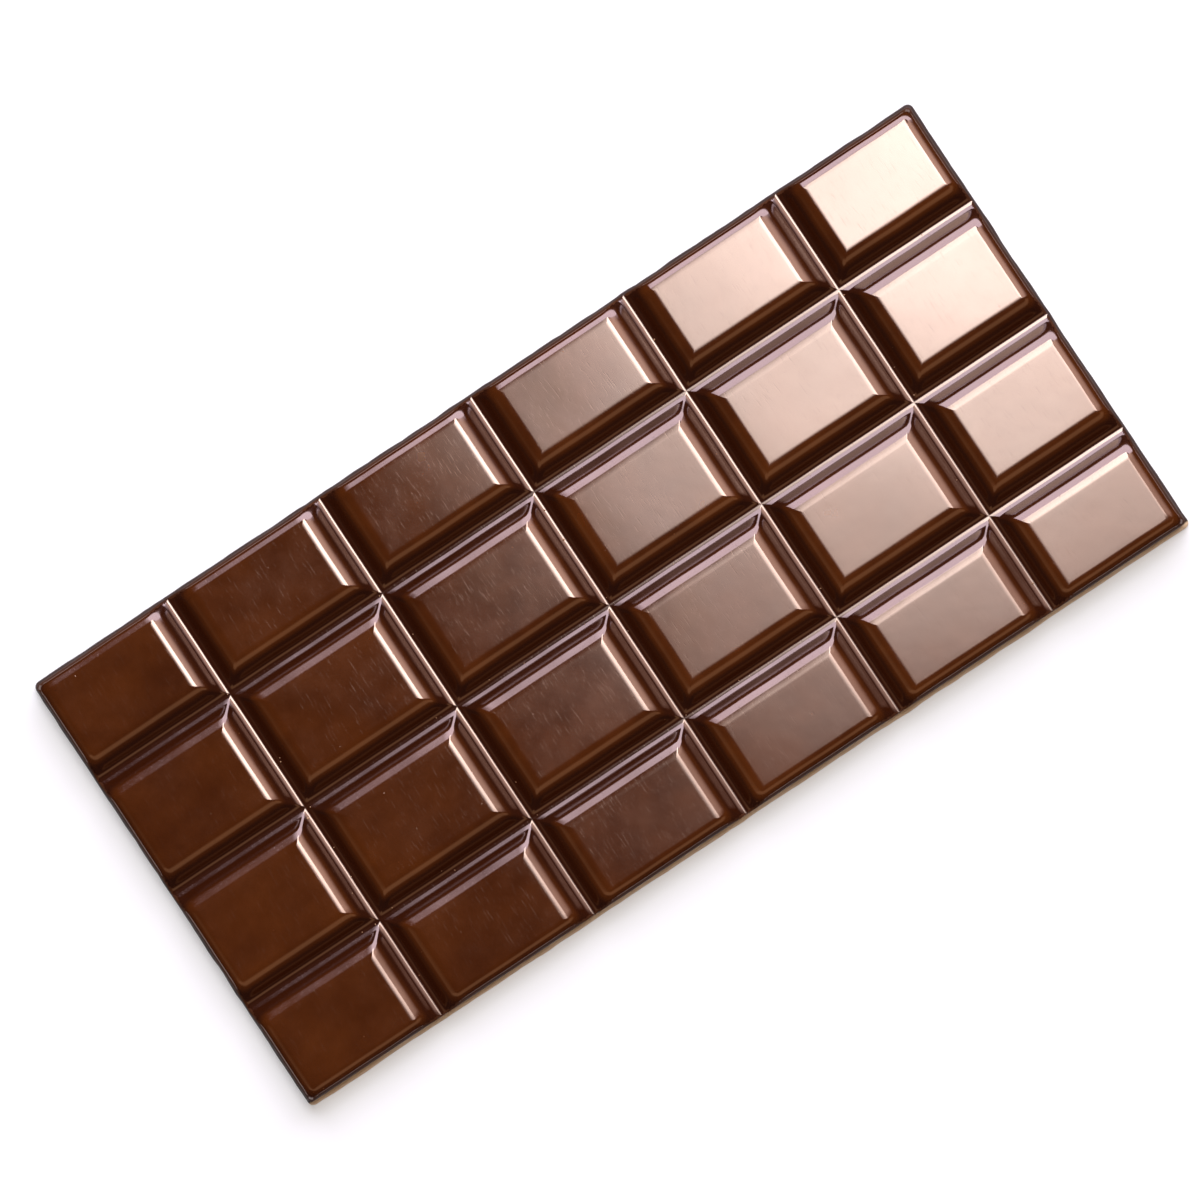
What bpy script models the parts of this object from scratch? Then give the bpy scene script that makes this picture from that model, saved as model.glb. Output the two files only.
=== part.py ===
"""A moulded chocolate bar: six by four pillow-topped segments on one solid slab.

Frame: +X along the length, +Y across, +Z up, origin in the middle of the flat underside.
Each segment is a stack of level contours. Toward a neighbour the contour follows the
snap groove's flank, and toward the outside of the bar it follows the drafted edge wall.
"""

from math import cos, pi, radians, sin

import bmesh
import bpy
import numpy as np

MM = 0.001

# The bar as a whole, in millimetres
LENGTH = 160.0
WIDTH = 77.0
HEIGHT = 7.0

# The grid of segments: those at the ends and sides take what the pitch leaves over
SEGMENTS_ALONG = 6
SEGMENTS_ACROSS = 4
PITCH_ALONG = 27.6
PITCH_ACROSS = 20.5

# A snap groove: a round hollow along its middle, a flat flank, a wide shoulder to the flat top
GROOVE_HALF_WIDTH = 4.6
HOLLOW_HALF_WIDTH = 1.1
FLAT_FLANK_WIDTH = 1.0
FLANK_ANGLE = radians(41)
SHOULDER_POWER = 1.4
HOLLOW_STEPS = 3
SHOULDER_STEPS = 6

# The outer edge, from the underside up: a trimmed rim, a ledge, a drafted wall, a shoulder
UNDERSIDE_CHAMFER = 0.15
RIM_LOW = 0.3
RIM_HIGH = 1.2
RIM_LEAN = 0.05
LEDGE_INSET = 0.3
LEDGE_HIGH = 1.6
WALL_DRAFT = radians(7)
EDGE_SHOULDER = 2.3
EDGE_POWER = 1.4

# Corner rounding: nothing on the groove floor, where four segments share a point, growing
# to these at the top, and fast at first, so that a groove flares where it leaves the bar
SEGMENT_CORNER = 0.7
EDGE_CORNER = 1.7
BAR_CORNER = 1.0
CORNER_GROWTH = 0.4
CORNER_STEPS = 3

CHOCOLATE_COLOUR = (0.066, 0.016, 0.004, 1.0)
CHOCOLATE_ROUGHNESS = 0.3

PROFILE_SAMPLES = 400
WELD_DISTANCE = 0.00001
SMOOTH_BELOW = radians(40)


def shoulder(width, steepest, power):
    """A rounded shoulder, as distances in from its foot and how far each lies under the top.

    The sine of its slope grows as a power of the distance from the flat top, so it leaves
    the top gently and is steepest at its foot.
    """
    inward = np.linspace(0.0, width, PROFILE_SAMPLES)
    slope_sine = sin(steepest) * (1 - inward / width) ** power
    gradient = slope_sine / np.sqrt(1 - slope_sine**2)
    rises = (gradient[1:] + gradient[:-1]) / 2 * np.diff(inward)
    risen = np.concatenate([[0.0], np.cumsum(rises)])
    return inward, risen[-1] - risen


def groove_flank():
    """Distances from the groove's centre line and the heights there, from floor to top."""
    flank_top = HOLLOW_HALF_WIDTH + FLAT_FLANK_WIDTH
    inward, under_top = shoulder(GROOVE_HALF_WIDTH - flank_top, FLANK_ANGLE, SHOULDER_POWER)
    foot = HEIGHT - under_top[0] - FLAT_FLANK_WIDTH * sin(FLANK_ANGLE) / cos(FLANK_ANGLE)
    hollow_radius = HOLLOW_HALF_WIDTH / sin(FLANK_ANGLE)
    hollow = np.linspace(0.0, HOLLOW_HALF_WIDTH, PROFILE_SAMPLES)
    hollow_under_foot = np.sqrt(hollow_radius**2 - hollow**2) - hollow_radius * cos(FLANK_ANGLE)
    distances = np.concatenate([hollow, flank_top + inward])
    heights = np.concatenate([foot - hollow_under_foot, HEIGHT - under_top])
    return distances, heights


def edge_wall():
    """How far the edge is set in from the bar's outline, and the heights there, ledge to top."""
    inward, under_top = shoulder(EDGE_SHOULDER, pi / 2 - WALL_DRAFT, EDGE_POWER)
    foot = HEIGHT - under_top[0]
    foot_inset = LEDGE_INSET + (foot - LEDGE_HIGH) * sin(WALL_DRAFT) / cos(WALL_DRAFT)
    insets = np.concatenate([[LEDGE_INSET], foot_inset + inward])
    heights = np.concatenate([[LEDGE_HIGH], HEIGHT - under_top])
    return insets, heights


def contours():
    """Each level contour as (distance from a groove's centre line, inset of the edge, height)."""
    distances, heights = groove_flank()
    insets, edge_heights = edge_wall()
    flank_top = HOLLOW_HALF_WIDTH + FLAT_FLANK_WIDTH
    shoulder_width = GROOVE_HALF_WIDTH - flank_top
    wanted = [HOLLOW_HALF_WIDTH * step / HOLLOW_STEPS for step in range(HOLLOW_STEPS + 1)]
    wanted += [
        flank_top + shoulder_width * step / SHOULDER_STEPS for step in range(SHOULDER_STEPS + 1)
    ]
    levels = []
    for distance in wanted:
        height = float(np.interp(distance, distances, heights))
        levels.append((distance, float(np.interp(height, edge_heights, insets)), height))
    return levels


def lines(count, pitch, size):
    """The boundaries between segments along one direction, from one outline to the other."""
    inner = [(step - count / 2) * pitch for step in range(1, count)]
    return [-size / 2, *inner, size / 2]


def rounded_loop(low, high, radii):
    """A rectangle's corner points, anticlockwise from the lowest corner, each corner an arc."""
    points = []
    places = [(low[0], low[1]), (high[0], low[1]), (high[0], high[1]), (low[0], high[1])]
    for quarter, (place, radius) in enumerate(zip(places, radii)):
        toward_x = 1 if quarter in (0, 3) else -1
        toward_y = 1 if quarter in (0, 1) else -1
        centre = (place[0] + toward_x * radius, place[1] + toward_y * radius)
        for step in range(CORNER_STEPS + 1):
            angle = pi + (quarter + step / CORNER_STEPS) * pi / 2
            points.append((centre[0] + radius * cos(angle), centre[1] + radius * sin(angle)))
    return points


def corner_radii(outer_sides, grown):
    """A segment's four corner radii on one contour: sharpest inside, widest at the edge."""
    radii = []
    for sides in outer_sides:
        radius = (EDGE_CORNER if any(sides) else SEGMENT_CORNER) * grown
        radii.append(max(radius, BAR_CORNER) if all(sides) else radius)
    return radii


def segment_loops(x_lines, y_lines, column, row, levels):
    """One segment's level contours from the groove floor to its top, as lists of 3-D points."""
    west, east = column == 0, column == SEGMENTS_ALONG - 1
    south, north = row == 0, row == SEGMENTS_ACROSS - 1
    outer_sides = [(west, south), (east, south), (east, north), (west, north)]
    floor = levels[0][2]
    loops = []
    for groove_inset, edge_inset, height in levels:
        grown = ((height - floor) / (HEIGHT - floor)) ** CORNER_GROWTH
        low = (
            x_lines[column] + (edge_inset if west else groove_inset),
            y_lines[row] + (edge_inset if south else groove_inset),
        )
        high = (
            x_lines[column + 1] - (edge_inset if east else groove_inset),
            y_lines[row + 1] - (edge_inset if north else groove_inset),
        )
        outline = rounded_loop(low, high, corner_radii(outer_sides, grown))
        loops.append([(x, y, height) for x, y in outline])
    return loops


def base_loops(x_lines, y_lines, levels):
    """The whole bar's contours from the underside up the edge to the groove floor's level."""
    _, floor_inset, floor = levels[0]
    sections = [
        (UNDERSIDE_CHAMFER, 0.0),
        (0.0, RIM_LOW),
        (RIM_LEAN, RIM_HIGH),
        (LEDGE_INSET, LEDGE_HIGH),
        (floor_inset, floor),
    ]
    per_corner = CORNER_STEPS + 1
    loops = []
    for inset, height in sections:
        low = (-LENGTH / 2 + inset, -WIDTH / 2 + inset)
        high = (LENGTH / 2 - inset, WIDTH / 2 - inset)
        points = rounded_loop(low, high, [BAR_CORNER] * 4)
        corners = [points[start : start + per_corner] for start in range(0, len(points), per_corner)]
        outline = corners[0] + [(x, low[1]) for x in x_lines[1:-1]]
        outline += corners[1] + [(high[0], y) for y in y_lines[1:-1]]
        outline += corners[2] + [(x, high[1]) for x in reversed(x_lines[1:-1])]
        outline += corners[3] + [(low[0], y) for y in reversed(y_lines[1:-1])]
        loops.append([(x, y, height) for x, y in outline])
    return loops


def add_loops(bm, loops):
    """A stack of contours joined by bands of quads. Returns each contour's vertices."""
    rings = [[bm.verts.new([value * MM for value in point]) for point in loop] for loop in loops]
    for lower, upper in zip(rings, rings[1:]):
        for here in range(len(lower)):
            after = (here + 1) % len(lower)
            bm.faces.new((lower[here], lower[after], upper[after], upper[here]))
    return rings


def chocolate():
    material = bpy.data.materials.new("chocolate")
    material.use_nodes = True
    shader = material.node_tree.nodes["Principled BSDF"]
    shader.inputs["Base Color"].default_value = CHOCOLATE_COLOUR
    shader.inputs["Roughness"].default_value = CHOCOLATE_ROUGHNESS
    shader.inputs["Metallic"].default_value = 0.0
    return material


def chocolate_bar():
    bm = bmesh.new()
    levels = contours()
    x_lines = lines(SEGMENTS_ALONG, PITCH_ALONG, LENGTH)
    y_lines = lines(SEGMENTS_ACROSS, PITCH_ACROSS, WIDTH)
    for column in range(SEGMENTS_ALONG):
        for row in range(SEGMENTS_ACROSS):
            rings = add_loops(bm, segment_loops(x_lines, y_lines, column, row, levels))
            bm.faces.new(rings[-1])
    rings = add_loops(bm, base_loops(x_lines, y_lines, levels))
    bm.faces.new(list(reversed(rings[0])))
    bmesh.ops.remove_doubles(bm, verts=bm.verts[:], dist=WELD_DISTANCE)
    bmesh.ops.dissolve_degenerate(bm, edges=bm.edges[:], dist=WELD_DISTANCE)
    bmesh.ops.recalc_face_normals(bm, faces=bm.faces[:])
    mesh = bpy.data.meshes.new("chocolate_bar")
    bm.to_mesh(mesh)
    bm.free()
    mesh.materials.append(chocolate())
    mesh.shade_smooth()
    mesh.set_sharp_from_angle(angle=SMOOTH_BELOW)
    bar = bpy.data.objects.new("chocolate_bar", mesh)
    bpy.context.scene.collection.objects.link(bar)


for old in list(bpy.data.objects):
    bpy.data.objects.remove(old, do_unlink=True)
chocolate_bar()
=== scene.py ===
from math import cos, pi, radians, sin

import bmesh
import bpy
import numpy as np
from mathutils import Matrix, Vector, noise


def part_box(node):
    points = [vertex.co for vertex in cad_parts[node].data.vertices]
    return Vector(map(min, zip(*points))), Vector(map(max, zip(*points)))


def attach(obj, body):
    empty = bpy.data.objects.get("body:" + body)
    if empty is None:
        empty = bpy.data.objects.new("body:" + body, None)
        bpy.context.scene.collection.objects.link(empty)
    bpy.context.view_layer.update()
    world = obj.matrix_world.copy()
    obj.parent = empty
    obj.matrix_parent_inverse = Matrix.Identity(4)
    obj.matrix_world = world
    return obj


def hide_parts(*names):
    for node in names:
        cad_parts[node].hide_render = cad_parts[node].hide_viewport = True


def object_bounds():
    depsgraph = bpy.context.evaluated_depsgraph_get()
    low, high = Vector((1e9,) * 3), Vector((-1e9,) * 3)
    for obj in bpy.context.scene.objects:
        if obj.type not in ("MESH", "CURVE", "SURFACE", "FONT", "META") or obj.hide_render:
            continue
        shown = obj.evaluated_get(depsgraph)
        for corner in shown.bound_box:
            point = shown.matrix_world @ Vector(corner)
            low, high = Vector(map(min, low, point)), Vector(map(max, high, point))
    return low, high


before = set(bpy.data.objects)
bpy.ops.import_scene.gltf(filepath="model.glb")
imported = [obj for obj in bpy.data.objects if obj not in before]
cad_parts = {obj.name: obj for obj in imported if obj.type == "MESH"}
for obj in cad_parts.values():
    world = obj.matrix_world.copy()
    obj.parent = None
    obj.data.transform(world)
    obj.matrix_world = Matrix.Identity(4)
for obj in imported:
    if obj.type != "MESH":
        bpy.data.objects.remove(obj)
cadLow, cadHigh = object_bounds()
barLow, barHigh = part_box("chocolate_bar")
mm = 0.001
print("stage 1: packed bar loaded, sides in mm", [round(side / mm, 2) for side in barHigh - barLow])


# the moulded bar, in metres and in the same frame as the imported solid

barMould = {
    "segmentsAlong": 6,
    "segmentsAcross": 4,
    "pitchAlong": 27.6 * mm,
    "pitchAcross": 20.5 * mm,
    "grooveHalfWidth": 4.6 * mm,
    "hollowHalfWidth": 1.1 * mm,
    "flatFlankWidth": 1.0 * mm,
    "flankAngle": radians(41),
    "shoulderPower": 1.4,
    "edgeShoulder": 2.3 * mm,
    "edgePower": 1.4,
    "edgeSteepest": radians(83),
    "wallDraft": radians(3),
    "ledgeInset": 0.5 * mm,
    "wallWidth": 1.1 * mm,
    "grooveEndWidth": 2.0 * mm,
    "nearLedgeWider": 0.14 * mm,    # the near long side keeps a broader ledge, which carries the painted reflection of the rim
    "ledgeHigh": 1.6 * mm,
    "rimLean": 0.05 * mm,
    "rimHigh": 1.2 * mm,
    "rimLow": 0.3 * mm,
    "undersideChamfer": 0.15 * mm,
    "segmentCorner": 0.6 * mm,
    "edgeCorner": 1.7 * mm,
    "barCorner": 1.0 * mm,
    "roundsFrom": 0.4,      # powers of the height that round a corner off and sharpen it again
    "pointedAt": 8,
    "hollowSteps": 8,
    "flankSteps": 4,
    "shoulderSteps": 20,
    "cornerSteps": 6,
    "pointsAlong": 22,      # along one segment's long side
    "pointsAcross": 16,     # along one segment's short side
}

barWear = {
    "noiseSeed": 5,
    "seed": Vector((3.1, 7.7, 1.3)),
    "swellHeight": 0.035 * mm,      # slow swell of the moulded face
    "swellLength": 19 * mm,
    "edgeWander": 0.05 * mm,        # side to side wander of flanks and walls
    "edgeLength": 7 * mm,
    "rimWander": 0.16 * mm,         # the trimmed rim is less even than the mould
    "rimLength": 5 * mm,
    "backRipple": 0.12 * mm,        # the poured back
    "backLength": 9 * mm,
}


def shoulderTable(width, steepest, power, samples=500):
    # the sine of the slope grows as a power of the distance from the flat top
    inward = np.linspace(0.0, width, samples)
    slopeSine = sin(steepest) * (1 - inward / width) ** power
    gradient = slopeSine / np.sqrt(1 - slopeSine**2)
    rises = (gradient[1:] + gradient[:-1]) / 2 * np.diff(inward)
    risen = np.concatenate([[0.0], np.cumsum(rises)])
    return inward, risen[-1] - risen


def grooveTable(mould, top):
    # distance from the groove's middle, and the height there
    flankTop = mould["hollowHalfWidth"] + mould["flatFlankWidth"]
    shoulderWidth = mould["grooveHalfWidth"] - flankTop
    inward, underTop = shoulderTable(shoulderWidth, mould["flankAngle"], mould["shoulderPower"])
    footHeight = top - underTop[0] - mould["flatFlankWidth"] * np.tan(mould["flankAngle"])
    radius = mould["hollowHalfWidth"] / sin(mould["flankAngle"])
    hollow = np.linspace(0.0, mould["hollowHalfWidth"], 500)
    underFoot = np.sqrt(radius**2 - hollow**2) - radius * cos(mould["flankAngle"])
    distances = np.concatenate([hollow, flankTop + inward])
    heights = np.concatenate([footHeight - underFoot, top - underTop])
    return distances, heights


def edgeTable(mould, top):
    # how far the outer wall has leaned in from the outline, and the height there
    inward, underTop = shoulderTable(mould["edgeShoulder"], mould["edgeSteepest"], mould["edgePower"])
    foot = top - underTop[0]
    footInset = mould["ledgeInset"] + (foot - mould["ledgeHigh"]) * np.tan(mould["wallDraft"])
    insets = np.concatenate([[mould["ledgeInset"]], footInset + inward])
    heights = np.concatenate([[mould["ledgeHigh"]], top - underTop])
    return insets, heights


def mouldLevels(mould, top):
    # level contours from groove floor to top: (groove inset, edge inset, height, corner growth)
    distances, heights = grooveTable(mould, top)
    insets, edgeHeights = edgeTable(mould, top)
    hollow, flank = mould["hollowHalfWidth"], mould["flatFlankWidth"]
    flankTop = hollow + flank
    shoulder = mould["grooveHalfWidth"] - flankTop
    wanted = [hollow * step / mould["hollowSteps"] for step in range(mould["hollowSteps"])]
    wanted += [hollow + flank * step / mould["flankSteps"] for step in range(mould["flankSteps"])]
    wanted += [
        flankTop + shoulder * step / mould["shoulderSteps"] for step in range(mould["shoulderSteps"] + 1)
    ]
    floor = heights[0]
    levels = []
    for distance in wanted:
        height = float(np.interp(distance, distances, heights))
        risen = (height - floor) / (top - floor)
        # corners round off soon above the groove floor and come to a point again on the flat top
        growth = risen ** mould["roundsFrom"] * (1 - risen ** mould["pointedAt"])
        levels.append((distance, float(np.interp(height, edgeHeights, insets)), height, growth))
    return levels


def gridLines(count, pitch, size):
    return [-size / 2] + [(step - count / 2) * pitch for step in range(1, count)] + [size / 2]


def segmentOutline(low, high, radii, alongPoints, acrossPoints, cornerSteps):
    # anticlockwise: each corner's arc, then the straight side up to the next corner
    corners = [(low[0], low[1]), (high[0], low[1]), (high[0], high[1]), (low[0], high[1])]
    arcs = []
    for quarter in range(4):
        towardX = 1 if quarter in (0, 3) else -1
        towardY = 1 if quarter in (0, 1) else -1
        radius = radii[quarter]
        middle = (corners[quarter][0] + towardX * radius, corners[quarter][1] + towardY * radius)
        arcs.append([])
        for step in range(cornerSteps + 1):
            angle = pi + (quarter + step / cornerSteps) * pi / 2
            arcs[-1].append((middle[0] + radius * cos(angle), middle[1] + radius * sin(angle)))
    outline = []
    for quarter in range(4):
        outline += arcs[quarter]
        begin, end = arcs[quarter][-1], arcs[(quarter + 1) % 4][0]
        count = alongPoints if quarter in (0, 2) else acrossPoints
        for step in range(1, count):
            share = step / count
            x = begin[0] + (end[0] - begin[0]) * share
            y = begin[1] + (end[1] - begin[1]) * share
            outline.append((x, y))
    return outline


def addSegment(bm, mould, levels, xLines, yLines, column, row):
    west, east = column == 0, column == mould["segmentsAlong"] - 1
    south, north = row == 0, row == mould["segmentsAcross"] - 1
    outerSides = [(west, south), (east, south), (east, north), (west, north)]
    rings = []
    for grooveInset, edgeInset, height, growth in levels:
        radii = []
        for sides in outerSides:
            radius = (mould["edgeCorner"] if any(sides) else mould["segmentCorner"]) * growth
            if all(sides) and height < levels[-1][2]:
                radius = max(radius, mould["barCorner"] * (1 - growth))
            radii.append(radius)
        low = (
            xLines[column] + (edgeInset if west else grooveInset),
            yLines[row] + (edgeInset if south else grooveInset),
        )
        high = (
            xLines[column + 1] - (edgeInset if east else grooveInset),
            yLines[row + 1] - (edgeInset if north else grooveInset),
        )
        outline = segmentOutline(
            low, high, radii, mould["pointsAlong"], mould["pointsAcross"], mould["cornerSteps"]
        )
        rings.append([bm.verts.new((x, y, height)) for x, y in outline])
    for lower, upper in zip(rings, rings[1:]):
        addBand(bm, lower, upper)
    addTop(bm, mould, low, high, levels[-1][2])


def addBand(bm, lower, upper, slotIndex=0):
    for here in range(len(lower)):
        after = (here + 1) % len(lower)
        face = bm.faces.new((lower[here], lower[after], upper[after], upper[here]))
        face.material_index = slotIndex


def nameWalls(bm, mould):
    # the outer wall above the ledge has a duller finish of its own
    for face in bm.faces:
        middle = face.calc_center_median()
        fromEdge = min(barHigh.x - abs(middle.x), barHigh.y - abs(middle.y))
        steepEnd = fromEdge < mould["grooveEndWidth"] and face.normal.z < 0.6
        if middle.z > mould["ledgeHigh"] and (fromEdge < mould["wallWidth"] or steepEnd):
            face.material_index = 2


def addTop(bm, mould, low, high, height):
    # the flat top as an even grid, whose border falls on the last contour's points
    countX, countY = mould["pointsAlong"], mould["pointsAcross"]
    rows = []
    for j in range(countY + 1):
        y = low[1] + (high[1] - low[1]) * j / countY
        rows.append([])
        for i in range(countX + 1):
            rows[-1].append(bm.verts.new((low[0] + (high[0] - low[0]) * i / countX, y, height)))
    for below, above in zip(rows, rows[1:]):
        for i in range(countX):
            bm.faces.new((below[i], below[i + 1], above[i + 1], above[i]))


def sidePoints(marks, count):
    # evenly spaced places between each mark and the next, without the first and the last
    places = []
    for begin, end in zip(marks, marks[1:]):
        places += [begin + (end - begin) * step / count for step in range(count)]
    return places[1:]


def barOutline(mould, xLines, yLines, inset, radius):
    low = (xLines[0] + inset, yLines[0] + inset)
    high = (xLines[-1] - inset, yLines[-1] - inset)
    steps = mould["cornerSteps"]
    corners = segmentOutline(low, high, [radius] * 4, 1, 1, steps)
    arcs = [corners[start : start + steps + 1] for start in range(0, len(corners), steps + 1)]
    xPlaces = sidePoints([low[0] + radius, *xLines[1:-1], high[0] - radius], mould["pointsAlong"])
    yPlaces = sidePoints([low[1] + radius, *yLines[1:-1], high[1] - radius], mould["pointsAcross"])
    outline = arcs[0] + [(x, low[1]) for x in xPlaces]
    outline += arcs[1] + [(high[0], y) for y in yPlaces]
    outline += arcs[2] + [(x, high[1]) for x in reversed(xPlaces)]
    outline += arcs[3] + [(low[0], y) for y in reversed(yPlaces)]
    return outline


def addBase(bm, mould, levels, xLines, yLines):
    # the slab under the segments: edge wall, ledge, trimmed rim and poured back
    floorInset, floor = levels[0][1], levels[0][2]
    radius = mould["barCorner"]
    sections = [
        (floorInset, floor, radius),
        (floorInset * 0.6 + mould["ledgeInset"] * 0.4, floor * 0.6 + mould["ledgeHigh"] * 0.4, radius),
        (mould["ledgeInset"], mould["ledgeHigh"], radius),
        (mould["ledgeInset"] * 0.55, mould["ledgeHigh"] * 0.7 + mould["rimHigh"] * 0.3, radius),
        (mould["rimLean"], mould["rimHigh"], radius),
        (0.0, (mould["rimHigh"] + mould["rimLow"]) / 2, radius),
        (0.0, mould["rimLow"], radius),
        (mould["undersideChamfer"] * 0.4, mould["rimLow"] * 0.35, radius),
        (mould["undersideChamfer"], 0.0, radius),
        (3 * mm, 0.0, 0.0),
    ]
    rings = []
    for inset, height, cornerRadius in sections:
        outline = barOutline(mould, xLines, yLines, inset, cornerRadius)
        rings.append([bm.verts.new((x, y, height)) for x, y in outline])
    for index, (upper, lower) in enumerate(zip(rings, rings[1:])):
        addBand(bm, lower, upper, 0 if index < 2 else 1)
    inset = sections[-1][0]
    xMarks = [xLines[0] + inset] + xLines[1:-1] + [xLines[-1] - inset]
    yMarks = [yLines[0] + inset] + yLines[1:-1] + [yLines[-1] - inset]
    xs = [xMarks[0], *sidePoints(xMarks, mould["pointsAlong"]), xMarks[-1]]
    ys = [yMarks[0], *sidePoints(yMarks, mould["pointsAcross"]), yMarks[-1]]
    rows = [[bm.verts.new((x, y, 0.0)) for x in xs] for y in ys]
    for below, above in zip(rows, rows[1:]):
        for i in range(len(xs) - 1):
            face = bm.faces.new((below[i], above[i], above[i + 1], below[i + 1]))
            face.material_index = 1


def wearBar(bm, mould, wear, xLines, yLines):
    # small unevenness: a slow swell on top, wandering flanks, a less even rim, ripples on the back
    halfX, halfY = xLines[-1], yLines[-1]
    top = barHigh.z
    for vert in bm.verts:
        place = vert.co.copy()
        drift = noise.noise_vector(place / wear["edgeLength"] + wear["seed"])
        height = place.z / top
        shift = Vector((drift.x, drift.y, 0.0)) * wear["edgeWander"] * min(height * 1.5, 1.0)
        swell = noise.noise(place / wear["swellLength"] + wear["seed"] * 2)
        shift.z = swell * wear["swellHeight"] * height
        fromEdge = min(halfX - abs(place.x), halfY - abs(place.y))
        if fromEdge < mould["ledgeInset"] and place.z < mould["ledgeHigh"]:
            rough = noise.noise(place / wear["rimLength"] - wear["seed"])
            rough += 0.5 * noise.noise(place * 3.1 / wear["rimLength"])
            outward = Vector((place.x / halfX, place.y / halfY, 0.0))
            outward = Vector((round(outward.x), round(outward.y), 0.0)).normalized()
            shift += outward * (rough - 0.4) * wear["rimWander"]
        if halfY + place.y < 1.0 * mm and mould["rimHigh"] + 0.01 * mm < place.z < 5 * mm:
            shift.y += mould["nearLedgeWider"] * (1 if place.z < mould["ledgeHigh"] * 1.01 else 0.5)
        if place.z < 0.01 * mm and fromEdge > 1.0 * mm:
            ripple = noise.noise(Vector((place.x, place.y * 0.6, 0.0)) / wear["backLength"])
            shift.z = (0.5 + 0.5 * ripple) * wear["backRipple"] * min((fromEdge - 1.0 * mm) / (4 * mm), 1.0)
        vert.co += shift


def makeBar(mould, wear):
    bm = bmesh.new()
    xLines = gridLines(mould["segmentsAlong"], mould["pitchAlong"], barHigh.x - barLow.x)
    yLines = gridLines(mould["segmentsAcross"], mould["pitchAcross"], barHigh.y - barLow.y)
    levels = mouldLevels(mould, barHigh.z)
    for column in range(mould["segmentsAlong"]):
        for row in range(mould["segmentsAcross"]):
            addSegment(bm, mould, levels, xLines, yLines, column, row)
    addBase(bm, mould, levels, xLines, yLines)
    bmesh.ops.remove_doubles(bm, verts=bm.verts[:], dist=0.001 * mm)
    bmesh.ops.dissolve_degenerate(bm, edges=bm.edges[:], dist=0.0005 * mm)
    bmesh.ops.recalc_face_normals(bm, faces=bm.faces[:])
    nameWalls(bm, mould)
    openEdges = sum(1 for edge in bm.edges if len(edge.link_faces) != 2)
    print("bar mesh:", len(bm.verts), "points,", len(bm.faces), "faces,", openEdges, "open edges")
    wearBar(bm, mould, wear, xLines, yLines)
    mesh = bpy.data.meshes.new("chocolateBarFine")
    bm.to_mesh(mesh)
    bm.free()
    mesh.shade_smooth()
    mesh.set_sharp_from_angle(angle=radians(50))
    piece = bpy.data.objects.new("chocolate_bar_moulded", mesh)
    bpy.context.scene.collection.objects.link(piece)
    return piece, levels, xLines, yLines


noise.seed_set(barWear["noiseSeed"])    # without it the noise vectors drift from run to run
bar, levels, xLines, yLines = makeBar(barMould, barWear)
print("stage 2: moulded bar made")


# a few crumbs that lie in the grooves

crumbLook = {
    "seed": 11,
    "count": 46,
    "smallest": 0.07 * mm,
    "largest": 0.2 * mm,
    "offGroove": 0.5 * mm,
}


def makeCrumbs(look, levels, xLines, yLines):
    rng = np.random.default_rng(look["seed"])
    distances = [level[0] for level in levels]
    heights = [level[2] for level in levels]
    floor = heights[0]
    bm = bmesh.new()
    for index in range(look["count"]):
        size = look["smallest"] + (look["largest"] - look["smallest"]) * rng.random() ** 2
        if index % 2:
            x = rng.choice(xLines[1:-1]) + rng.normal() * look["offGroove"]
            y = rng.uniform(-0.9, 0.9) * yLines[-1]
        else:
            x = rng.uniform(-0.95, 0.95) * xLines[-1]
            y = rng.choice(yLines[1:-1]) + rng.normal() * look["offGroove"]
        nearestX = min(abs(x - line) for line in xLines[1:-1])
        nearestY = min(abs(y - line) for line in yLines[1:-1])
        height = float(np.interp(min(nearestX, nearestY), distances, heights))
        turn = Matrix.Rotation(rng.uniform(0, 2 * pi), 4, Vector(rng.normal(size=3)).normalized())
        stretch = Matrix.Diagonal((*rng.uniform(0.6, 1.3, 3), 1.0))
        place = Matrix.Translation((x, y, max(height, floor) + size * 0.35)) @ turn @ stretch
        made = bmesh.ops.create_icosphere(bm, subdivisions=2, radius=size, matrix=place)
        for vert in made["verts"]:
            vert.co += noise.noise_vector(vert.co / (size * 1.4)) * size * 0.35
    mesh = bpy.data.meshes.new("crumbs")
    bm.to_mesh(mesh)
    bm.free()
    mesh.shade_smooth()
    piece = bpy.data.objects.new("crumbs_in_grooves", mesh)
    bpy.context.scene.collection.objects.link(piece)
    return piece


crumbs = makeCrumbs(crumbLook, levels, xLines, yLines)
print("stage 3: crumbs made")


chocolateFinish = {
    "deepBrown": (0.050, 0.0105, 0.0014, 1.0),
    "warmBrown": (0.092, 0.0215, 0.0026, 1.0),
    # painted shade: a darker brown on the flanks down in the grooves, where they fall into shade
    "paintedGrooveShade": (0.031, 0.0063, 0.0014, 1.0),    # darker down in the grooves
    "grooveShadeFrom": 6.75 * mm,
    "grooveShadeTo": 5.9 * mm,
    "speck": (0.22, 0.095, 0.04, 1.0),
    "shadeScale": 85.0,         # patches per metre
    "mottleScale": 330.0,
    "speckScale": 420.0,
    "speckSize": 0.055,
    "pitDepth": 0.02 * mm,
    "glossLow": 0.07,
    "glossHigh": 0.105,
    "glossScale": 150.0,
    "swellScale": 230.0,
    "swellDepth": 0.006 * mm,
    "scratchDepth": 0.0011 * mm,
    # fine scratches run three ways: turn in radians, how drawn out they are, fineness
    "scratchFields": [(0.5, 0.07, 5200.0), (-0.55, 0.06, 4600.0), (1.3, 0.08, 5800.0)],
    "specular": 1.0,
    "specularTint": (1.0, 0.74, 0.63, 1.0),
    "ior": 1.6,
    "coat": 0.4,
    "coatRoughness": 0.075,
}

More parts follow.
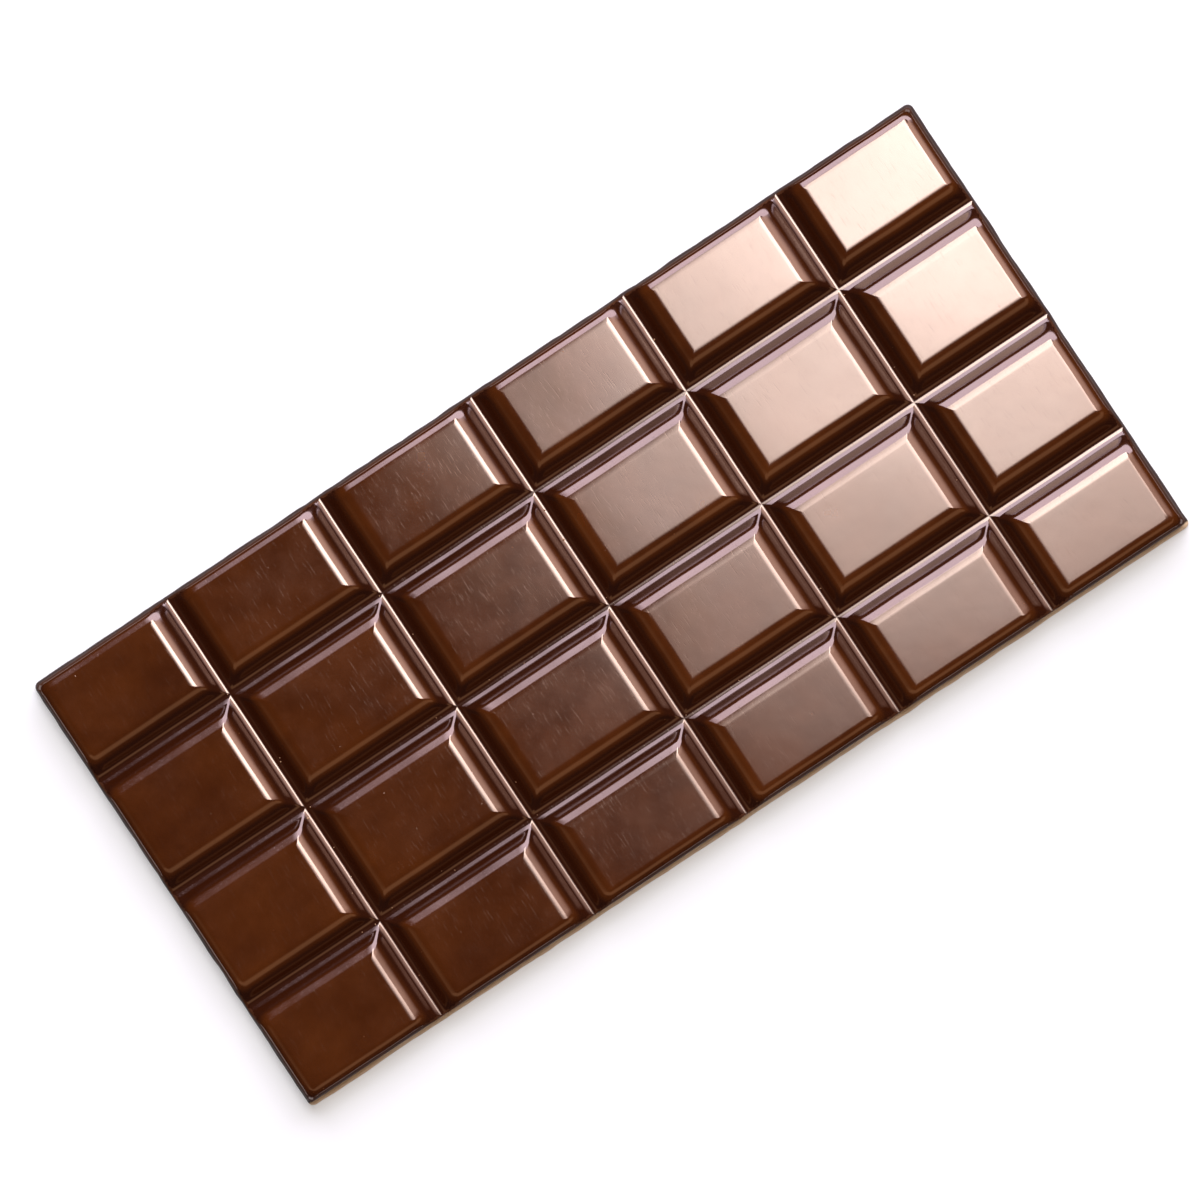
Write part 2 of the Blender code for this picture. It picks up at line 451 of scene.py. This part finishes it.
rimColoursAndPaintedReflection = {
    # painted reflection: pale and dark are the tan of the white floor's glare on the near side wall, pale
    # toward the rim's top, bright enough to show in the bar's own shadow; brown is the rim's own colour on
    # the other sides and backBrown the underside
    "pale": (0.92, 0.66, 0.40, 1.0),
    "dark": (0.66, 0.42, 0.20, 1.0),
    "brown": (0.030, 0.0095, 0.0035, 1.0),
    "backBrown": (0.075, 0.026, 0.010, 1.0),
    "rimTop": 1.2 * mm,
    "grain": 900.0,
    "grainDepth": 0.02 * mm,
    "roughness": 0.48,
}

wallFinish = {
    "brown": (0.070, 0.024, 0.0095, 1.0),
    "deep": (0.045, 0.014, 0.005, 1.0),
    "mottleScale": 420.0,
    "mottleDepth": 0.02 * mm,
    "roughness": 0.5,
    "specular": 0.05,
}

crumbFinish = {
    "brown": (0.24, 0.11, 0.045, 1.0),
    "pale": (0.5, 0.3, 0.16, 1.0),
    "roughness": 0.5,
}


def addNode(tree, kind, settings=None, **links):
    node = tree.nodes.new(kind)
    for name, value in (settings or {}).items():
        if isinstance(name, str) and hasattr(node, name):
            setattr(node, name, value)
        else:
            node.inputs[name].default_value = value
    for name, source in links.items():
        tree.links.new(source, node.inputs[name])
    return node


def emptyMaterial(name):
    material = bpy.data.materials.new(name)
    material.use_nodes = True
    tree = material.node_tree
    shader = tree.nodes["Principled BSDF"]
    return material, tree, shader


def noiseAt(tree, vector, scale, detail=2.0, roughness=0.5):
    node = addNode(tree, "ShaderNodeTexNoise", {"Scale": scale, "Detail": detail, "Roughness": roughness})
    tree.links.new(vector, node.inputs["Vector"])
    return node.outputs["Fac"]


def mapRange(tree, value, fromLow, fromHigh, toLow, toHigh, smooth=False):
    node = tree.nodes.new("ShaderNodeMapRange")
    node.interpolation_type = "SMOOTHSTEP" if smooth else "LINEAR"
    limits = {"From Min": fromLow, "From Max": fromHigh, "To Min": toLow, "To Max": toHigh}
    for name, number in limits.items():
        node.inputs[name].default_value = number
    tree.links.new(value, node.inputs["Value"])
    return node.outputs["Result"]


def mixColours(tree, share, first, second):
    node = tree.nodes.new("ShaderNodeMix")
    node.data_type = "RGBA"
    tree.links.new(share, node.inputs["Factor"])
    for socket, colour in ((6, first), (7, second)):
        if isinstance(colour, tuple):
            node.inputs[socket].default_value = colour
        else:
            tree.links.new(colour, node.inputs[socket])
    return node.outputs[2]


def calculate(tree, operation, values):
    total = values[0]
    for value in values[1:]:
        node = tree.nodes.new("ShaderNodeMath")
        node.operation = operation
        tree.links.new(total, node.inputs[0])
        tree.links.new(value, node.inputs[1])
        total = node.outputs[0]
    return total


def addUp(tree, *values):
    return calculate(tree, "ADD", values)


def multiply(tree, *values):
    return calculate(tree, "MULTIPLY", values)


def bump(tree, height, distance, before=None):
    node = tree.nodes.new("ShaderNodeBump")
    node.inputs["Strength"].default_value = 1.0
    node.inputs["Distance"].default_value = distance
    tree.links.new(height, node.inputs["Height"])
    if before is not None:
        tree.links.new(before, node.inputs["Normal"])
    return node.outputs["Normal"]


def scratchField(tree, place, turn, squeeze, scale):
    # noise drawn out along one direction, of which only the peaks are kept
    mapping = tree.nodes.new("ShaderNodeMapping")
    mapping.inputs["Rotation"].default_value = (0.0, 0.0, turn)
    mapping.inputs["Scale"].default_value = (1.0, squeeze, 1.0)
    tree.links.new(place, mapping.inputs["Vector"])
    streaks = noiseAt(tree, mapping.outputs["Vector"], scale, 1.0)
    return mapRange(tree, streaks, 0.68, 0.78, 0.0, 1.0)


def specksAndPits(tree, place, look):
    # one possible dot in each cell: some cells have a pale speck, some a small pit, most nothing
    cells = addNode(tree, "ShaderNodeTexVoronoi", {"Scale": look["speckScale"]}, Vector=place)
    dot = mapRange(tree, cells.outputs["Distance"], look["speckSize"], look["speckSize"] * 0.5, 0.0, 1.0)
    lot = addNode(tree, "ShaderNodeSeparateXYZ", Vector=cells.outputs["Color"])
    specks = multiply(tree, dot, mapRange(tree, lot.outputs["X"], 0.86, 0.98, 0.0, 0.8))
    pits = multiply(tree, dot, mapRange(tree, lot.outputs["Y"], 0.88, 0.98, 0.0, 1.0))
    return specks, pits


def makeChocolate(look):
    material, tree, shader = emptyMaterial("temperedChocolate")
    place = tree.nodes.new("ShaderNodeTexCoord").outputs["Object"]
    broad = mapRange(tree, noiseAt(tree, place, look["shadeScale"], 3.0), 0.3, 0.7, 0.0, 0.7)
    mottle = mapRange(tree, noiseAt(tree, place, look["mottleScale"], 3.0, 0.6), 0.3, 0.7, 0.0, 0.3)
    brown = mixColours(tree, addUp(tree, broad, mottle), look["deepBrown"], look["warmBrown"])
    height = addNode(tree, "ShaderNodeSeparateXYZ", Vector=place).outputs["Z"]
    # painted shade: the brown turns darker with depth in the grooves
    deep = mapRange(tree, height, look["grooveShadeFrom"], look["grooveShadeTo"], 0.0, 1.0, True)
    brown = mixColours(tree, deep, brown, look["paintedGrooveShade"])
    specks, pits = specksAndPits(tree, place, look)
    tree.links.new(mixColours(tree, specks, brown, look["speck"]), shader.inputs["Base Color"])
    gloss = mapRange(
        tree, noiseAt(tree, place, look["glossScale"], 3.0), 0.3, 0.7, look["glossLow"], look["glossHigh"]
    )
    scratches = addUp(tree, *(scratchField(tree, place, *field) for field in look["scratchFields"]))
    dull = mapRange(tree, addUp(tree, scratches, specks), 0, 1, 0, 0.06)
    uneven = mapRange(tree, mottle, 0.0, 0.3, 0.0, 0.025)
    tree.links.new(addUp(tree, gloss, uneven, dull), shader.inputs["Roughness"])
    swell = bump(tree, noiseAt(tree, place, look["swellScale"], 2.0), look["swellDepth"])
    marked = bump(tree, scratches, -look["scratchDepth"], swell)
    tree.links.new(bump(tree, pits, -look["pitDepth"], marked), shader.inputs["Normal"])
    shader.inputs["IOR"].default_value = look["ior"]
    shader.inputs["Specular IOR Level"].default_value = look["specular"]
    shader.inputs["Specular Tint"].default_value = look["specularTint"]
    shader.inputs["Coat Weight"].default_value = look["coat"]
    shader.inputs["Coat Roughness"].default_value = look["coatRoughness"]
    shader.inputs["Subsurface Weight"].default_value = 0.0
    return material


def makeRim(look):
    material, tree, shader = emptyMaterial("rimChocolatePaintedReflection")
    place = tree.nodes.new("ShaderNodeTexCoord").outputs["Object"]
    split = addNode(tree, "ShaderNodeSeparateXYZ", Vector=place)
    grain = noiseAt(tree, place, look["grain"], 3.0)
    # painted reflection: on the near side the rim goes from dark to pale tan toward its top, standing for
    # the floor's glare; the other sides keep their brown
    reflectionTowardRimTop = mapRange(tree, split.outputs["Z"], 0.15 * mm, look["rimTop"], 0.25, 1.0)
    paintedRimReflection = mixColours(tree, reflectionTowardRimTop, look["dark"], look["pale"])
    nearSideReflectionShare = mapRange(tree, split.outputs["Y"], barLow.y + 0.9 * mm, barLow.y + 0.6 * mm, 0.0, 1.0)
    rimWithPaintedReflection = mixColours(tree, nearSideReflectionShare, look["brown"], paintedRimReflection)
    onBack = mapRange(tree, split.outputs["Z"], 0.13 * mm, 0.2 * mm, 1.0, 0.0)
    tree.links.new(mixColours(tree, onBack, rimWithPaintedReflection, look["backBrown"]), shader.inputs["Base Color"])
    dullness = mapRange(tree, grain, 0.3, 0.7, look["roughness"] - 0.06, look["roughness"] + 0.08)
    tree.links.new(dullness, shader.inputs["Roughness"])
    tree.links.new(bump(tree, grain, look["grainDepth"]), shader.inputs["Normal"])
    shader.inputs["Specular IOR Level"].default_value = 0.5
    return material


def makeWall(look):
    material, tree, shader = emptyMaterial("wallChocolate")
    place = tree.nodes.new("ShaderNodeTexCoord").outputs["Object"]
    mottle = noiseAt(tree, place, look["mottleScale"], 3.0)
    shade = mapRange(tree, mottle, 0.35, 0.65, 0.0, 1.0)
    tree.links.new(mixColours(tree, shade, look["deep"], look["brown"]), shader.inputs["Base Color"])
    dullness = mapRange(tree, mottle, 0.3, 0.7, look["roughness"] - 0.08, look["roughness"] + 0.08)
    tree.links.new(dullness, shader.inputs["Roughness"])
    tree.links.new(bump(tree, mottle, look["mottleDepth"]), shader.inputs["Normal"])
    shader.inputs["Specular IOR Level"].default_value = look["specular"]
    return material


def makeCrumbFinish(look):
    material, tree, shader = emptyMaterial("crumbChocolate")
    place = tree.nodes.new("ShaderNodeTexCoord").outputs["Object"]
    shade = mapRange(tree, noiseAt(tree, place, 300.0, 1.0), 0.35, 0.65, 0.0, 1.0)
    tree.links.new(mixColours(tree, shade, look["brown"], look["pale"]), shader.inputs["Base Color"])
    shader.inputs["Roughness"].default_value = look["roughness"]
    tree.links.new(bump(tree, noiseAt(tree, place, 6000.0, 2.0), 0.02 * mm), shader.inputs["Normal"])
    return material


bar.data.materials.append(makeChocolate(chocolateFinish))
bar.data.materials.append(makeRim(rimColoursAndPaintedReflection))
bar.data.materials.append(makeWall(wallFinish))
crumbs.data.materials.append(makeCrumbFinish(crumbFinish))
for piece in (bar, crumbs):
    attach(piece, "root")
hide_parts("chocolate_bar")
print("stage 4: finishes on")


# floor, soft lamp, surroundings and camera

studio = {
    "floorRadius": 3.0,
    "floorColour": (0.66, 0.656, 0.64, 1.0),
    "floorGlow": 0.35,
    "lampHeight": 1.2,
    "lampLevel": 11.3,
    # each panel: middle, size, turn in degrees, soft share of its width and of its depth
    "panels": [
        ((0.155, 0.245), (0.42, 0.75), -5.0, (0.54, 0.33)),
    ],
    # each glow: colour, strength, and the directions, as parts of a unit vector, where it comes up
    "windowColour": (0.82, 0.80, 1.0),
    "windowStrength": 5.4,
    "windowLimits": [("X", -0.09, 0.0), ("Y", 0.06, 0.2), ("Z", 0.9, 0.87), ("Z", 0.38, 0.46)],
    "sideColour": (1.0, 0.78, 0.70),
    "sideStrength": 3.2,
    "sideLimits": [("X", 0.06, 0.2), ("Y", -0.06, 0.04), ("Y", 0.2, 0.06), ("Z", 0.5, 0.93)],
    "wallColour": (1.0, 0.64, 0.36),
    "wallStrength": 0.5,
    "wallLimits": [("Z", 0.94, 0.86), ("Z", 0.62, 0.74)],
    "wallFrom": (-0.05, -0.3),
    "wallLean": 0.25,           # how much the wall turns round the left end
    "roomStrength": 0.02,
    "cameraDistance": 1.005,
    "cameraLens": 200.0,
    "viewRoll": 33.55,          # degrees that the bar's length is turned in the frame
    "offCentre": (1.33 * mm, 0.71 * mm),    # the bar sits this far right of and below the middle
    "cameraTilt": 2.0,
    "cameraTiltToward": -55.0,  # degrees from +X
}


def makeFloor(look):
    bpy.ops.mesh.primitive_circle_add(
        vertices=96, radius=look["floorRadius"], fill_type="NGON", location=(0, 0, cadLow.z)
    )
    floor = bpy.context.object
    floor.name = "floor"
    material, tree, shader = emptyMaterial("paleFloor")
    shader.inputs["Base Color"].default_value = look["floorColour"]
    shader.inputs["Roughness"].default_value = 0.9
    shader.inputs["Specular IOR Level"].default_value = 0.0
    rays = tree.nodes.new("ShaderNodeLightPath")
    kinds = ("Is Camera Ray", "Is Glossy Ray", "Is Transmission Ray")
    seen = addUp(tree, *(rays.outputs[kind] for kind in kinds))
    glow = mapRange(tree, seen, 0.0, 1.0, 0.0, look["floorGlow"])
    shader.inputs["Emission Color"].default_value = (1.0, 1.0, 1.0, 1.0)
    tree.links.new(glow, shader.inputs["Emission Strength"])
    floor.data.materials.append(material)


def makePanel(look, index, middle, size, turn, soft):
    # a white panel that looks straight down, dimmer toward its left and near edges
    light = bpy.data.lights.new(f"softPanel{index}", "AREA")
    light.shape = "RECTANGLE"
    light.size, light.size_y = size
    light.energy = look["lampLevel"] * pi * size[0] * size[1]
    light.use_nodes = True
    tree = light.node_tree
    onPanel = tree.nodes.new("ShaderNodeNewGeometry").outputs["Parametric"]
    across = addNode(tree, "ShaderNodeSeparateXYZ", Vector=onPanel)
    near = mapRange(tree, across.outputs["Y"], 0.0, soft[1], 0.0, 1.0, True)
    left = mapRange(tree, across.outputs["X"], 0.0, soft[0], 0.0, 1.0, True)
    tree.links.new(multiply(tree, near, left), tree.nodes["Emission"].inputs["Strength"])
    lamp = bpy.data.objects.new(f"softPanel{index}", light)
    lamp.location = (*middle, look["lampHeight"])
    lamp.rotation_euler = (0.0, 0.0, radians(turn))
    lamp.visible_camera = False
    bpy.context.scene.collection.objects.link(lamp)


def comesUp(tree, split, limits):
    # a share from 0 to 1 that rises smoothly from the first limit to the second, direction by direction
    shares = []
    for axis, start, full in limits:
        shares.append(mapRange(tree, split.outputs[axis], start, full, 0.0, 1.0, True))
    return multiply(tree, *shares)


def makeSurroundings(look):
    # a dark studio with a pale window along the far side, a warmer glow past the right end and
    # a dim warm wall on the near side, all white to the camera
    world = bpy.data.worlds.new("studioSurroundings")
    bpy.context.scene.world = world
    world.use_nodes = True
    tree = world.node_tree
    tree.nodes.clear()
    toward = tree.nodes.new("ShaderNodeTexCoord").outputs["Generated"]
    split = addNode(tree, "ShaderNodeSeparateXYZ", Vector=toward)
    window = comesUp(tree, split, look["windowLimits"])
    side = comesUp(tree, split, look["sideLimits"])
    lean = mapRange(tree, split.outputs["X"], -1.0, 1.0, -look["wallLean"], look["wallLean"])
    far = mapRange(tree, addUp(tree, lean, split.outputs["Y"]), *look["wallFrom"], 0.0, 1.0, True)
    wall = multiply(tree, far, comesUp(tree, split, look["wallLimits"]))
    windowLevel = mapRange(tree, window, 0.0, 1.0, look["roomStrength"], look["windowStrength"])
    parts = (
        (look["windowColour"], windowLevel),
        (look["sideColour"], mapRange(tree, side, 0.0, 1.0, 0.0, look["sideStrength"])),
        (look["wallColour"], mapRange(tree, wall, 0.0, 1.0, 0.0, look["wallStrength"])),
    )
    room = None
    for colour, level in parts:
        glow = addNode(tree, "ShaderNodeBackground", {"Color": (*colour, 1.0)}, Strength=level).outputs[0]
        if room is not None:
            both = tree.nodes.new("ShaderNodeAddShader")
            tree.links.new(room, both.inputs[0])
            tree.links.new(glow, both.inputs[1])
            glow = both.outputs[0]
        room = glow
    white = addNode(tree, "ShaderNodeBackground", {"Color": (1.0, 1.0, 1.0, 1.0), "Strength": 1.0})
    rays = tree.nodes.new("ShaderNodeLightPath")
    seen = addUp(tree, rays.outputs["Is Camera Ray"], rays.outputs["Is Transmission Ray"])
    mix = tree.nodes.new("ShaderNodeMixShader")
    tree.links.new(seen, mix.inputs["Fac"])
    tree.links.new(room, mix.inputs[1])
    tree.links.new(white.outputs[0], mix.inputs[2])
    out = tree.nodes.new("ShaderNodeOutputWorld")
    tree.links.new(mix.outputs[0], out.inputs["Surface"])


def makeCamera(look):
    lens = bpy.data.cameras.new("camera")
    lens.lens = look["cameraLens"]
    lens.sensor_width = 36.0
    camera = bpy.data.objects.new("camera", lens)
    tilt, toward = radians(look["cameraTilt"]), radians(look["cameraTiltToward"])
    back = Vector((sin(tilt) * cos(toward), sin(tilt) * sin(toward), cos(tilt)))
    roll = radians(look["viewRoll"])
    up = Vector((sin(roll), cos(roll), 0.0))
    right = up.cross(back).normalized()
    up = back.cross(right)
    turn = Matrix((right, up, back)).transposed()
    aim = Vector((0.0, 0.0, barHigh.z)) - right * look["offCentre"][0] + up * look["offCentre"][1]
    camera.matrix_world = Matrix.Translation(aim + back * look["cameraDistance"]) @ turn.to_4x4()
    lens.clip_start, lens.clip_end = 0.01, 20.0
    bpy.context.scene.collection.objects.link(camera)
    bpy.context.scene.camera = camera


makeFloor(studio)
for index, panel in enumerate(studio["panels"]):
    makePanel(studio, index, *panel)
makeSurroundings(studio)
makeCamera(studio)
bpy.context.scene.view_settings.view_transform = "Standard"
print("stage 5: floor, lamps and camera set")
